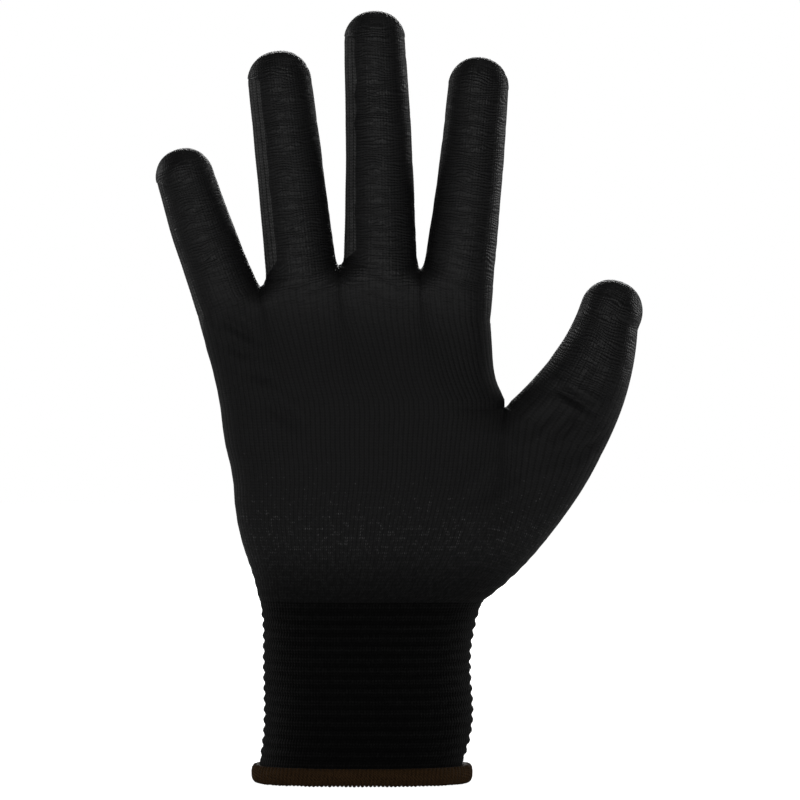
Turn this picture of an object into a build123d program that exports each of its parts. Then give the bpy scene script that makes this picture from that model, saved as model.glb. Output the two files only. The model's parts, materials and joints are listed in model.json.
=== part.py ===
from build123d import *
from math import atan2, cos, degrees, radians, sin, tan
import os

# A cut resistant work glove for the right hand, in millimetres, in the open shape of the hand in it.
# +Z runs up the fingers, the palm faces -Y and the thumb is on +X.
# The origin is the middle of the cuff's mouth.
# The liner is one seamless knit. It is divided here where it flexes: a band of coated fabric, the crease,
# crosses each bend, and the stretches between the creases keep their shape.
# A thin skin is dipped over the palm side of the liner, elastic threads lie inside the cuff and an overlock
# binds the mouth.

# Overall size. The tables below are drawn for a hand 250 long and 91 broad, and follow these two.
HAND_LENGTH = 250.0
HAND_BREADTH = 91.0
LONG = HAND_LENGTH / 250.0
WIDE = HAND_BREADTH / 91.0

# Fabric
KNIT_WALL = 1.1
COAT_WALL = 0.3
COAT_EDGE_Y = -1.5          # the dip covers the liner on the palm side of this plane
COAT_LOW_Z = 60.0 * LONG    # lower edge of the dip, over the first rows of the cuff
TIP_WRAP = 2.0              # the dip goes all round a finger's end, beyond this distance past the tip's middle

# Overlocked mouth
HEM_HEIGHT = 6.6
HEM_STAND_OUT = 2.7         # the binding stands this far out of the knit
HEM_INSIDE = 1.0            # leg of the binding on the inside of the knit
HEM_ROUND = 1.2
HEM_BOTTOM = 1.2            # thread under the raw edge of the knit
HEM_SHIFT = -0.9            # the binding sits a little towards the little finger's side

# Elastic threads laid inside the cuff
THREAD_THICK = 0.5
THREAD_TALL = 0.8
THREAD_PITCH = 3.4
THREAD_FIRST_Z = HEM_HEIGHT + 1.6
THREAD_COUNT = 11

# The tube of cuff and palm: height, middle in X, half width, half depth
TUBE_SECTIONS = [
    (-4.0, 0.0, 33.4, 20.0),
    (14.0, 0.0, 33.4, 20.0),
    (32.0, 0.5, 33.4, 20.3),
    (50.0, 0.8, 34.1, 20.3),
    (60.0, 1.7, 36.2, 19.4),
    (76.0, 1.2, 40.3, 17.4),
    (100.0, 0.4, 43.6, 15.6),
    (124.0, -1.5, 46.0, 14.4),
    (134.0, -4.2, 45.5, 13.5),
    (144.0, -5.8, 46.2, 12.4),
    (153.0, -6.7, 46.3, 10.8),
    (161.0, -7.2, 46.0, 8.2),
    (168.0, -7.4, 45.0, 5.0),
]
SECTION_SQUARE = 0.70       # pull of the section's corners: 0.55 is an ellipse, more is squarer

# Finger stalls: straight tapered tubes with round ends, lying in the plane of the palm. tip is the middle of
# the round end and foot a point of the axis inside the palm, both (X, Z), followed by the half widths and half
# depths there. bends are the distances from the outermost point back to the hinge lines.
FINGERS = {
    "little": {"tip": (-58.3, 196.6), "foot": (-35.6, 128.0), "bends": (15.0, 29.5, 44.5),
               "tip_half": (9.1, 8.0), "foot_half": (11.9, 9.6)},
    "ring": {"tip": (-28.2, 227.1), "foot": (-18.3, 140.0), "bends": (22.0, 42.5, 63.5),
             "tip_half": (10.0, 8.7), "foot_half": (11.8, 9.9)},
    "middle": {"tip": (2.5, 240.3), "foot": (5.4, 140.0), "bends": (24.5, 49.0, 74.0),
               "tip_half": (9.7, 8.5), "foot_half": (12.5, 10.3)},
    "index": {"tip": (36.0, 225.5), "foot": (26.6, 132.0), "bends": (21.0, 41.0, 61.0),
              "tip_half": (9.35, 8.2), "foot_half": (12.0, 10.0)},
}

# Highest points of the webs between the fingers, (X, Z), and the soft filler under each
WEB_TOPS = [(-34.0, 160.4), (-8.7, 167.0), (17.4, 166.2)]
PALM_CORNER = (-62.0, 148.0)  # the palm's upper edge falls away towards this point beside the little finger
WEB_HALF_WIDTH = 6.5
WEB_HALF_DEPTH = 6.0
WEB_HEIGHT = 14.0
WEB_DROP = 1.0              # the flat of the palm ends this far under the webs

# Thumb, from its root in the palm to the middle of its round end:
# X, Z, lean from +Z towards +X in degrees, half width, half depth
THUMB_SECTIONS = [
    (24.2, 67.0, 38.0, 15.5, 15.0),
    (41.2, 89.3, 38.0, 20.0, 15.0),
    (60.5, 113.9, 26.0, 17.1, 13.0),
    (73.4, 138.1, 25.0, 12.1, 10.5),
    (78.2, 153.6, 24.0, 9.5, 8.3),
]
THUMB_BENDS = (24.4, 42.4)  # distances from the outermost point back to the hinge lines
THUMB_TURN = -25.0          # the thumb's hinge lines are turned round its axis, so it closes across the palm

# Bends, in degrees: towards the back of the hand, and towards the palm
WRIST_BEND = (50.0, 50.0)
ROOT_BEND = (10.0, 70.0)
MIDDLE_BEND = (0.0, 85.0)
TIP_BEND = (0.0, 50.0)
THUMB_ROOT_BEND = (10.0, 45.0)
THUMB_TIP_BEND = (0.0, 60.0)
WRIST_Z = 58.0 * LONG
HINGE_Y = -3.0              # the hinge lines of the fingers and the thumb lie a little towards the palm
BEND_ROOM = 3.0             # each crease is this many degrees wider than its bend
CREASE_LEAST = 0.8          # height of a crease where it passes its own hinge line

FAR = 400.0 * max(LONG, WIDE)


def across_plane(x, z, lean):
    """A plane across the hand or a finger at (x, z), its normal leaning from +Z towards +X."""
    a = radians(lean)
    return Plane(origin=(x, 0, z), x_dir=(cos(a), 0, -sin(a)), z_dir=(sin(a), 0, cos(a)))


def rounded_section(x, z, half_width, half_depth):
    """A section of the tube of cuff and palm, from four curves that meet on its axes."""
    corners = [(half_width, 0), (0, half_depth), (-half_width, 0), (0, -half_depth)]
    curves = []
    for here in range(4):
        start, end = Vector(*corners[here]), Vector(*corners[(here + 1) % 4])
        curves.append(Bezier(start, start + end * SECTION_SQUARE, end + start * SECTION_SQUARE, end))
    return across_plane(x, z, 0) * make_face(curves)


def tube(grow):
    """The hand from the cuff's mouth to the webs, without thumb and fingers, grown by a thickness."""
    return loft([
        rounded_section(x * WIDE, z * LONG, half_width * WIDE + grow, half_depth * WIDE + grow)
        for z, x, half_width, half_depth in TUBE_SECTIONS
    ])


def under_webs(grow):
    """A plate that trims the flat of the palm along the line of the webs."""
    tops = [PALM_CORNER] + WEB_TOPS
    line = [(x * WIDE, z * LONG - WEB_DROP + grow) for x, z in tops]
    outline = [(-FAR, line[0][1])] + line + [(FAR, line[-1][1]), (FAR, -FAR), (-FAR, -FAR)]
    return extrude(Plane.XZ * make_face(Polyline(*outline, close=True)), FAR / 2, both=True)


def web(top, grow):
    """The soft filler under one web."""
    x, z = top
    halves = (WEB_HALF_WIDTH * WIDE + grow, WEB_HALF_DEPTH * WIDE + grow, WEB_HEIGHT + grow)
    return Pos(x * WIDE, 0, z * LONG - WEB_HEIGHT) * scale(Sphere(1.0), by=halves)


def round_end(x, z, lean, half_width, half_depth):
    """Half an ellipsoid that closes a stall."""
    half_ball = Sphere(1.0, arc_size1=0, align=(Align.CENTER, Align.CENTER, Align.NONE))
    return across_plane(x, z, lean).location * scale(half_ball, by=(half_width, half_depth, half_width))


def stall(sections, grow):
    """A tapered tube with a round end, from sections (x, z, lean, half width, half depth), grown."""
    grown = [(x, z, lean, a + grow, b + grow) for x, z, lean, a, b in sections]
    walls = loft([across_plane(x, z, lean) * Ellipse(a, b) for x, z, lean, a, b in grown])
    return walls + round_end(*grown[-1])


def finger_sections(finger):
    """The foot and tip sections of a finger, at the hand's size."""
    (tip_x, tip_z), (foot_x, foot_z) = finger["tip"], finger["foot"]
    lean = degrees(atan2((tip_x - foot_x) * WIDE, (tip_z - foot_z) * LONG))
    (tip_a, tip_b), (foot_a, foot_b) = finger["tip_half"], finger["foot_half"]
    return [
        (foot_x * WIDE, foot_z * LONG, lean, foot_a * WIDE, foot_b * WIDE),
        (tip_x * WIDE, tip_z * LONG, lean, tip_a * WIDE, tip_b * WIDE),
    ]


def thumb_sections():
    """The thumb's sections at the hand's size."""
    return [(x * WIDE, z * LONG, lean, a * WIDE, b * WIDE) for x, z, lean, a, b in THUMB_SECTIONS]


STALLS = {name: finger_sections(finger) for name, finger in FINGERS.items()}
STALLS["thumb"] = thumb_sections()


def tip_point(name, back):
    """A point on the axis of a stall's outer part, a distance back from its outermost point."""
    x, z, lean, half_width, half_depth = STALLS[name][-1]
    a = radians(lean)
    reach = half_width - back * LONG
    return Vector(x + reach * sin(a), HINGE_Y * WIDE, z + reach * cos(a))


def make_hinges():
    """Every hinge line: its point, its direction, the direction of the limb beyond it and its two bends."""
    made = {"wrist": (Vector(0, 0, WRIST_Z), Vector(1, 0, 0), Vector(0, 0, 1), WRIST_BEND)}
    for name, finger in FINGERS.items():
        limits = (TIP_BEND, MIDDLE_BEND, ROOT_BEND)
        for part, back, bend in zip(("tip", "middle", "root"), finger["bends"], limits):
            made[f"{name}_{part}"] = (tip_point(name, back), Vector(1, 0, 0), Vector(0, 0, 1), bend)
    lean = radians(THUMB_SECTIONS[-1][2])
    turn = radians(THUMB_TURN)
    along = Vector(sin(lean), 0, cos(lean))
    line = Vector(cos(lean) * cos(turn), sin(turn), -sin(lean) * cos(turn))
    for part, back, bend in zip(("tip", "root"), THUMB_BENDS, (THUMB_TIP_BEND, THUMB_ROOT_BEND)):
        made[f"thumb_{part}"] = (tip_point("thumb", back), line, along, bend)
    return made


HINGES = make_hinges()


def beyond(hinge, side):
    """All space on one side of a bend: side is 1 towards the fingertip and -1 towards the wrist."""
    point, line, along, (back, front) = HINGES[hinge]
    rise_front = tan(radians((front + BEND_ROOM) / 2)) * FAR + CREASE_LEAST / 2
    rise_back = tan(radians((back + BEND_ROOM) / 2)) * FAR + CREASE_LEAST / 2
    outline = [(-FAR, rise_front), (0, CREASE_LEAST / 2), (FAR, rise_back), (FAR, 4 * FAR), (-FAR, 4 * FAR)]
    side_view = Plane(origin=point, x_dir=along.cross(line), z_dir=line)
    face = make_face(Polyline(*[(across, up * side) for across, up in outline], close=True))
    return extrude(side_view * face, FAR, both=True)


def hand(grow):
    """The whole hand grown by a thickness."""
    body = tube(grow) & under_webs(grow)
    for top in WEB_TOPS:
        body += web(top, grow)
    for sections in STALLS.values():
        body += stall(sections, grow)
    return body


def without_stalls(body):
    """The hand below its finger and thumb creases."""
    for name, sections in STALLS.items():
        body -= stall(sections, 2 * COAT_WALL) - beyond(f"{name}_root", -1)
    return body


def slab(low, high):
    """All space between two heights."""
    return Pos(0, 0, (low + high) / 2) * Box(2 * FAR, 2 * FAR, high - low)


def palm_side():
    """All space that the dip reaches, above its lower edge."""
    return Pos(0, COAT_EDGE_Y - FAR, COAT_LOW_Z + FAR) * Box(2 * FAR, 2 * FAR, 2 * FAR)


def hem():
    """The overlock's thread, wrapped over both sides of the raw edge."""
    z, x, half_width, half_depth = TUBE_SECTIONS[1]
    levels = [
        (0.0, HEM_STAND_OUT - HEM_ROUND),
        (HEM_ROUND, HEM_STAND_OUT),
        (HEM_HEIGHT - HEM_ROUND, HEM_STAND_OUT),
        (HEM_HEIGHT, HEM_STAND_OUT - HEM_ROUND),
    ]
    outside = loft([
        rounded_section(x * WIDE + HEM_SHIFT, level, half_width * WIDE + out, half_depth * WIDE + out)
        for level, out in levels
    ], ruled=True)
    edge = (tube(0) - tube(-KNIT_WALL)) & slab(HEM_BOTTOM, FAR)
    return outside - edge - tube(-KNIT_WALL - HEM_INSIDE)


def elastic_threads():
    """Separate turns of elastic thread against the inside of the cuff."""
    ring = tube(-KNIT_WALL) - tube(-KNIT_WALL - THREAD_THICK)
    turns = []
    for turn in range(THREAD_COUNT):
        low = THREAD_FIRST_Z + turn * THREAD_PITCH
        turns.append(ring & slab(low, low + THREAD_TALL))
    return Compound(children=turns)


def make_nodes():
    """Every node of the glove by name."""
    nodes = {}
    outside = hand(0)
    below_creases = without_stalls(outside)
    knit = below_creases - hand(-KNIT_WALL)
    coat = (without_stalls(hand(COAT_WALL)) - outside) & palm_side()
    lower, upper = beyond("wrist", -1), beyond("wrist", 1)
    nodes["hem_overlock"] = hem()
    nodes["cuff_knit"] = (knit & lower) & slab(HEM_BOTTOM, FAR)
    nodes["cuff_elastic"] = elastic_threads()
    nodes["wrist_crease_knit"] = knit - lower - upper
    nodes["wrist_crease_coating"] = coat - lower - upper
    nodes["palm_knit"] = knit & upper
    nodes["palm_coating"] = coat & upper
    for name, sections in STALLS.items():
        full = stall(sections, 0)
        knit = full - stall(sections, -KNIT_WALL)
        x, z, lean, half_width, half_depth = sections[-1]
        finger_end = across_plane(x, z, lean).location * Pos(0, 0, FAR + TIP_WRAP) * Box(FAR, FAR, 2 * FAR)
        coat = (stall(sections, COAT_WALL) - full) & (palm_side() + finger_end)
        bends = ["root", "tip"] if name == "thumb" else ["root", "middle", "tip"]
        stretches = ["proximal", "distal"] if name == "thumb" else ["proximal", "middle", "distal"]
        for place, bend in enumerate(bends):
            before, after = beyond(f"{name}_{bend}", -1), beyond(f"{name}_{bend}", 1)
            nodes[f"{name}_{bend}_crease"] = (knit + coat) - before - after
            region = after
            if place + 1 < len(bends):
                region = region & beyond(f"{name}_{bends[place + 1]}", -1)
            nodes[f"{name}_{stretches[place]}_knit"] = knit & region
            nodes[f"{name}_{stretches[place]}_coating"] = coat & region
    return nodes


os.makedirs("parts", exist_ok=True)
for node_name, shape in make_nodes().items():
    shape.label = node_name
    export_step(shape, f"parts/{node_name}.step")
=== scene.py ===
import bpy, json, math
import numpy as np
from mathutils import Matrix, Vector
from mathutils.bvhtree import BVHTree


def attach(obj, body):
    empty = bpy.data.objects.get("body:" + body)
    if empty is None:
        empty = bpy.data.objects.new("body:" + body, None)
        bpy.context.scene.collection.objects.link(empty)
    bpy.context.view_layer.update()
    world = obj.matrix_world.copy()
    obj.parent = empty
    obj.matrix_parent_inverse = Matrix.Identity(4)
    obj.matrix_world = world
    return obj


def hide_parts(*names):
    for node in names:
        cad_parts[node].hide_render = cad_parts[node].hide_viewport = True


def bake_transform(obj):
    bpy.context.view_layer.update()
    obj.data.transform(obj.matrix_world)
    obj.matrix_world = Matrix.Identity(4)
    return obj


# A right-hand cut resistant glove: knitted liner, dipped palm, ribbed cuff and overlocked mouth.
# The fabric is one sheet of stitches, drawn column by column and row by row round the CAD shape,
# and cut into pieces where the hand bends. The dip is a second sheet over the same stitches.

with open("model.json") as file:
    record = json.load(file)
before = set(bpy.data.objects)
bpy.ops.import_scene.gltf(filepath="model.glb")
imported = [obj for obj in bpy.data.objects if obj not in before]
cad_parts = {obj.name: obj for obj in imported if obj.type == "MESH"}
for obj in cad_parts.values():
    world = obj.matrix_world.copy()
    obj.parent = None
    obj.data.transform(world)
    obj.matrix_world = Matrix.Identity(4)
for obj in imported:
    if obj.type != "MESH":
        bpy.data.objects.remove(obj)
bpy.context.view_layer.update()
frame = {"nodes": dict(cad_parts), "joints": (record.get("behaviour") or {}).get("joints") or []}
hinges = {j["name"]: Vector(j["pos_m"]) for j in frame["joints"]}
fingerNames = ["little", "ring", "middle", "index"]
mm = 0.001
print("frame loaded:", len(frame["nodes"]), "nodes")

knit = {
    "wall": 1.1 * mm,
    "fingerWales": 16,  # columns of stitches on the front of each finger, and as many on the back
    "thumbWales": 18,
    "waleSteps": 2,  # mesh steps per column of stitches
    "course": 0.97 * mm,  # height of one row of stitches
    "courseSteps": 2,
    "relief": 0.12 * mm,  # how far the ribs between the columns stand out
}
coat = {
    "wall": 0.22 * mm,
    "lift": 0.12 * mm,  # inner face above the middle of the knit
    "ribShare": 0.45,  # how much of the knit's relief shows through the dip
}


def wallTree():
    verts, faces = [], []
    for name, node in frame["nodes"].items():
        if name.endswith("_knit") or name.endswith("_crease"):
            base = len(verts)
            verts += [v.co.copy() for v in node.data.vertices]
            faces += [[base + i for i in p.vertices] for p in node.data.polygons]
    return BVHTree.FromPolygons(verts, faces)


walls = wallTree()


def reach(point, direction):
    # distance from a point inside the glove to the outside of its knit
    hit = walls.ray_cast(Vector(point), Vector(direction).normalized())
    return hit[3] + knit["wall"]


def fade(start, end, x):
    t = np.clip((np.asarray(x, float) - start) / (end - start), 0, 1)
    return t * t * (3 - 2 * t)


def evenly(x, y, count):
    # points evenly spaced along a line, and the line's length
    run = np.concatenate([[0], np.cumsum(np.hypot(np.diff(x), np.diff(y)))])
    even = np.linspace(0, run[-1], count + 1)
    return np.interp(even, run, x), np.interp(even, run, y), run[-1]


def halfSection(count, halfWidth, halfDepth, power):
    # half a rounded section from left to right
    a = np.linspace(math.pi, 0, 721)
    x = halfWidth * np.sign(np.cos(a)) * np.abs(np.cos(a)) ** (2 / power)
    y = halfDepth * np.abs(np.sin(a)) ** (2 / power)
    return evenly(x, y, count)[:2]


hand = {
    "webs": [(-34.0, 160.4), (-8.7, 167.0), (17.4, 166.2)],  # x and z of the webs between the fingers, mm
    "littleSide": 151.0,  # height where the little finger leaves the side of the palm
    "indexSide": 160.5,
    "thumbWeb": (44.9, 121.3),
    "thumbSide": (75.9, 106.4),
    "cuffTop": 57.0,  # the thumb's columns run in above this height
    "cuffSplit": 42.0,  # the wrist piece bends between these two heights
    "palmSplit": 74.0,
    "webValley": 0.85,  # share of the upper palm below the valleys between the fingers
    "thumbValley": 0.85,
    "sectionPower": 2.35,
    "fingerPower": 2.12,
    "webRound": 4.5 * mm,  # the webs are rounded over this height
    "stallSquare": 11.0,  # the rows of a stall lie square to it this far above its web
    "outerRound": 7.0 * mm,  # the outer side of a stall leaves the palm over this height
    "domeShare": 1.5,  # length of the cloth over a fingertip, as a share of its radius
    "tipSeam": 0.5,  # width of the closing seam over a fingertip, as a share of the tip
    "bow": {"little": -0.7, "ring": 0.2, "middle": 0.6, "index": 0.6, "thumb": 1.4},  # sideways, mm
}

axes = {}
for name in fingerNames + ["thumb"]:
    root, tip = hinges[f"{name}_root_flex"], hinges[f"{name}_tip_flex"]
    axes[name] = (Vector((root.x, 0, root.z)), Vector((tip.x - root.x, 0, tip.z - root.z)).normalized())


def stallShape(name, low):
    # half widths to the left and right of a stall's axis, its depth and its length
    origin, along = axes[name]
    right = Vector((along.z, 0, -along.x))
    end = reach(origin, along)
    stations = np.linspace(low, end - 12 * mm, 14)
    left, rightward, deep = [], [], []
    for s in stations:
        p = origin + along * s
        left.append(reach(p, -right))
        rightward.append(reach(p, right))
        deep.append(reach(p, (0, -1, 0)))
    return {"end": end, "at": stations, "left": left, "right": rightward, "deep": deep}


def sideTable(low, high, direction, fromX):
    # where the side of the hand stands at each height, found from a point inside it
    heights = np.linspace(low * mm, high * mm, 24)
    x = fromX * mm
    sides = [x + direction * reach((x, 0, z), (direction, 0, 0)) for z in heights]
    return lambda z: np.interp(z, heights, sides)


leftLow, leftHigh = sideTable(4, 146, -1, -5), sideTable(146, 158, -1, -45)
withThumb, withoutThumb = sideTable(4, 119, 1, 5), sideTable(124, 148, 1, 5)
indexEdge = sideTable(150, 160, 1, 30)
depthHeights = np.linspace(4 * mm, 156 * mm, 40)
depths = [reach((-3 * mm, 0, z), (0, -1, 0)) for z in depthHeights]


def leftAt(z):
    return np.where(np.asarray(z) < 146 * mm, leftLow(z), leftHigh(z))


def upperRightAt(z):
    return np.where(np.asarray(z) < 149 * mm, withoutThumb(z), indexEdge(z))


def depthAt(z):
    return np.interp(z, depthHeights, depths)


steps = knit["waleSteps"]
fingerCols = knit["fingerWales"] * steps
thumbCols = knit["thumbWales"] * steps
palmCols = 4 * fingerCols
handCols = palmCols + thumbCols
rowPitch = knit["course"] / knit["courseSteps"]
thumbWeb = Vector((hand["thumbWeb"][0] * mm, 0, hand["thumbWeb"][1] * mm))
thumbSide = Vector((hand["thumbSide"][0] * mm, 0, hand["thumbSide"][1] * mm))
webPoints = [Vector((x * mm, 0, z * mm)) for x, z in hand["webs"]]
littleSide = Vector((float(leftAt(hand["littleSide"] * mm)), 0, hand["littleSide"] * mm))
indexSide = Vector((float(upperRightAt(hand["indexSide"] * mm)), 0, hand["indexSide"] * mm))
webLine = [littleSide] + webPoints + [indexSide]


def closed(frontX, frontY, frontZ):
    # front half from left to right, then the back half from right to left
    x = np.concatenate([frontX, frontX[-2::-1]])
    y = np.concatenate([-frontY, frontY[-2::-1]])
    z = np.concatenate([frontZ, frontZ[-2::-1]])
    return np.stack([x, y, z], 1)


def stallRow(name, shape, cols, web, level, run, tip):
    # one row of a stall, from its left side over the palm side to its right side, and back
    origin, along = axes[name]
    right = Vector((along.z, 0, -along.x))
    (sLeft, aLeft), (sRight, aRight) = web
    first = np.linspace(sLeft, sRight, cols + 1)
    s = level + (first - max(sLeft, sRight)) * (1 - fade(0, hand["stallSquare"] * mm, run))
    slow = float(fade(0, hand["outerRound"], run))
    opened = math.sqrt(1 - max(1 - run / hand["webRound"], 0) ** 2)
    # a side that starts at a web opens out in a round, an outer side slowly
    leftOpen = slow if name == "little" else opened
    rightOpen = slow if name in ("index", "thumb") else opened
    leftEdge = aLeft + (-np.interp(level, shape["at"], shape["left"]) - aLeft) * leftOpen
    rightEdge = aRight + (np.interp(level, shape["at"], shape["right"]) - aRight) * rightOpen
    deep = np.interp(level, shape["at"], shape["deep"])
    half, middle = (rightEdge - leftEdge) / 2, (leftEdge + rightEdge) / 2
    hx, hy = halfSection(cols, half, deep, hand["fingerPower"])
    hx = hx * (1 - (1 - hand["tipSeam"]) * tip ** 2)
    hy = hy * math.cos(tip * math.pi / 2)
    filled = np.abs(hx / half) ** hand["fingerPower"] + np.abs(hy / deep) ** hand["fingerPower"]
    rise = np.sqrt(np.clip(1 - filled, 0, 1)) * shape["radius"]
    bow = hand["bow"][name] * mm * math.sin(math.pi * min(run / shape["straight"], 1) * 0.75)
    s, across = s + rise, middle + bow + hx
    x = origin.x + along.x * s + right.x * across
    z = origin.z + along.z * s + right.z * across
    return closed(x, hy, z)


def stallRows(name, cols, webLeft, webRight):
    # rows of points from the web to the end of a stall
    origin, along = axes[name]
    right = Vector((along.z, 0, -along.x))
    web = [((w - origin).dot(along), (w - origin).dot(right)) for w in (webLeft, webRight)]
    high = max(s for s, across in web)
    shape = stallShape(name, high + 3 * mm)
    shape["radius"] = (shape["left"][-1] + shape["right"][-1]) / 2
    domeStart = shape["end"] - shape["radius"]
    shape["straight"] = domeStart - high
    straight = int(round(shape["straight"] / rowPitch))
    dome = int(round(shape["radius"] * hand["domeShare"] / rowPitch))
    rows = []
    for r in range(straight + dome + 1):
        run = shape["straight"] * min(r / straight, 1)
        tip = max(r - straight, 0) / dome
        rows.append(stallRow(name, shape, cols, web, high + run, run, tip))
    return np.array(rows)


def ridgeLine(top, centres):
    # depth of the sheet if no valleys ran up to the webs, straight from one stall's middle to the next
    deep = -top[:, 1]
    columns = np.arange(len(deep))
    between = (columns > centres[0]) & (columns < centres[-1])
    return np.where(between, np.interp(columns, centres, deep[centres]), deep)


def meetingRow(t, top, z, sides, unit, valleyStart, centres):
    # a row of the palm on its way up to the line where it parts, t from 0 below to 1 at that line
    ux, uy = unit
    left, rightward = sides[0](z), sides[1](z)
    topLeft, topRight = sides[0](top[:, 2]), sides[1](top[:, 2])
    share = (1 + ux) / 2
    topShare = (top[:, 0] - topLeft) / (topRight - topLeft)
    share = share + (topShare - share) * float(fade(0.05, 1, t))
    ridge = ridgeLine(top, centres)
    filled = np.where(ridge > 0, -top[:, 1] / np.maximum(ridge, 1e-9), 1)
    valley = max((t - valleyStart) / (1 - valleyStart), 0)
    steep = valley ** 2
    y = depthAt(z) * uy
    y = (y + (ridge - y) * float(fade(0.1, 1, t))) * (1 - (1 - filled) * steep)
    return closed(left + (rightward - left) * share, y, z)


def unitSection(cols, flatness):
    ux, uy = halfSection(cols, 1.0, flatness, hand["sectionPower"])
    return ux, uy / flatness


def upperPalmRows(fingers):
    # from the height of the thumb's web to the line of the finger webs
    fronts = [fingers[n][0][:fingerCols] for n in fingerNames]
    top = np.concatenate(fronts + [fingers["index"][0][fingerCols : fingerCols + 1]])
    count = int(round((np.mean(top[:, 2]) - thumbWeb.z) / rowPitch))
    unit = unitSection(palmCols, 0.3)
    centres = [fingerCols * k + fingerCols // 2 for k in range(4)]
    rows = []
    for r in range(count + 1):
        z = thumbWeb.z + (top[:, 2] - thumbWeb.z) * r / count
        rows.append(meetingRow(r / count, top, z, (leftAt, upperRightAt), unit, hand["webValley"], centres))
    return np.array(rows)


def handRows(upper, thumb):
    # from the mouth of the cuff to the line of the thumb's web
    top = np.concatenate([upper[0][: palmCols + 1], thumb[0][1 : thumbCols + 1]])
    cuffTop, low = hand["cuffTop"] * mm, 1.2 * mm
    unit = unitSection(handCols, 0.35)
    centres = [palmCols - fingerCols, palmCols + thumbCols // 2]
    cuffCount = int(round((cuffTop - low) / rowPitch))
    count = int(round((thumbWeb.z - cuffTop) / rowPitch))
    levels = [(0, np.full(handCols + 1, low + (cuffTop - low) * r / cuffCount)) for r in range(cuffCount)]
    levels += [(r / count, cuffTop + (top[:, 2] - cuffTop) * r / count) for r in range(count + 1)]
    sides = leftAt, withThumb
    return np.array([meetingRow(t, top, z, sides, unit, hand["thumbValley"], centres) for t, z in levels])


fingers = {n: stallRows(n, fingerCols, webLine[i], webLine[i + 1]) for i, n in enumerate(fingerNames)}
thumb = stallRows("thumb", thumbCols, thumbWeb, thumbSide)
upperPalm = upperPalmRows(fingers)
lowerHand = handRows(upperPalm, thumb)
print("sheet drawn:", lowerHand.shape, upperPalm.shape, fingers["middle"].shape, thumb.shape)


folds = {
    # x and z of both ends, half width and depth of each fold pressed into the palm side, all in mm
    "palm": [
        ((-47, 151), (-36, 143), 2.0, 1.15),
        ((-33, 124), (-21, 115), 2.2, 0.95),
        ((-45, 143), (-37, 138), 1.7, 0.90),
        ((-38, 134), (-30, 130), 1.8, 0.60),
        ((12, 78), (28, 100), 7.0, 1.10),
        ((28, 100), (40, 119), 5.0, 1.20),
        ((36, 92), (52, 104), 2.8, 0.90),
        ((40, 84), (60, 96), 2.8, 0.75),
        ((-20, 62), (22, 60), 2.4, 0.30),
    ],
    "thumb": [
        ((61, 112), (72, 121), 1.7, 1.40),
        ((61, 128), (73, 121), 1.7, 1.30),
        ((56, 103), (70, 108), 2.0, 1.00),
        ((50, 112), (60, 120), 2.2, 0.90),
        ((66, 104), (76, 112), 1.6, 0.80),
        ((70, 128), (76, 134), 1.6, 0.60),
    ],
}
rippleSize = {
    "elastic": 0.32 * mm,  # ridges round the cuff, one for each turn of elastic
    "elasticPitch": 3.4 * mm,
    "coatedElastic": 0.10 * mm,  # the same ridges fade out under the dip
    "slack": 0.45 * mm,  # slow unevenness of the loose cloth
    "finger": 0.12 * mm,  # small cross ripples on the fingers
    "fingerCount": 16,
    "lip": 0.45,  # height of the soft lip beside a fold, as a share of its depth
    "elasticFrom": (6 * mm, 10 * mm),
    "elasticTo": (58 * mm, 54 * mm),
    "coatedFrom": (56 * mm, 60 * mm),
    "coatedTo": (80 * mm, 66 * mm),
}


def strokes(points, front, group):
    # depth of the pressed folds at each point, with a soft lip on both sides of each
    total = np.zeros(points.shape[:-1])
    x, z = points[..., 0], points[..., 2]
    for (x0, z0), (x1, z1), wide, deep in folds[group]:
        ax, az, bx, bz = x0 * mm, z0 * mm, x1 * mm, z1 * mm
        length = (bx - ax) ** 2 + (bz - az) ** 2
        t = np.clip(((x - ax) * (bx - ax) + (z - az) * (bz - az)) / length, 0, 1)
        away = np.hypot(x - ax - t * (bx - ax), z - az - t * (bz - az)) / (wide * mm)
        ends = 1 - 0.6 * np.abs(2 * t - 1) ** 3
        lip = rippleSize["lip"] * np.exp(-((away - 1.9) ** 2) * 1.5)
        total += -deep * mm * ends * (np.exp(-away ** 2) - lip)
    return total * front


def waves(points, seed):
    # slow unevenness of soft cloth, from a few crossing sine waves
    rng = np.random.default_rng(seed)
    total = np.zeros(points.shape[:-1])
    for k in range(9):
        direction = rng.normal(size=3)
        direction /= np.linalg.norm(direction)
        length = rng.uniform(9, 34) * mm
        total += np.sin(2 * math.pi * (points @ direction) / length + rng.uniform(0, 6.3)) * length
    return total / (9 * 20 * mm)


def outward(rows):
    # outward direction at every point of a closed sheet
    around = np.roll(rows[:, :-1], -1, 1) - np.roll(rows[:, :-1], 1, 1)
    around = np.concatenate([around, around[:, :1]], 1)
    up = np.gradient(rows, axis=0)
    n = np.cross(around, up)
    size = np.linalg.norm(n, axis=2, keepdims=True)
    n = np.where(size > 1e-12, n / np.maximum(size, 1e-12), 0)
    n[-1] = np.where(size[-1] > 1e-12, n[-1], n[-2])
    return n


def frontShare(rows):
    # 1 on the palm side, 0 on the back
    cols = rows.shape[1] - 1
    k = np.arange(cols + 1) / cols
    share = fade(0.5, 0.44, k) * fade(0.0, 0.06, k)
    return np.tile(share, (rows.shape[0], 1))


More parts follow.
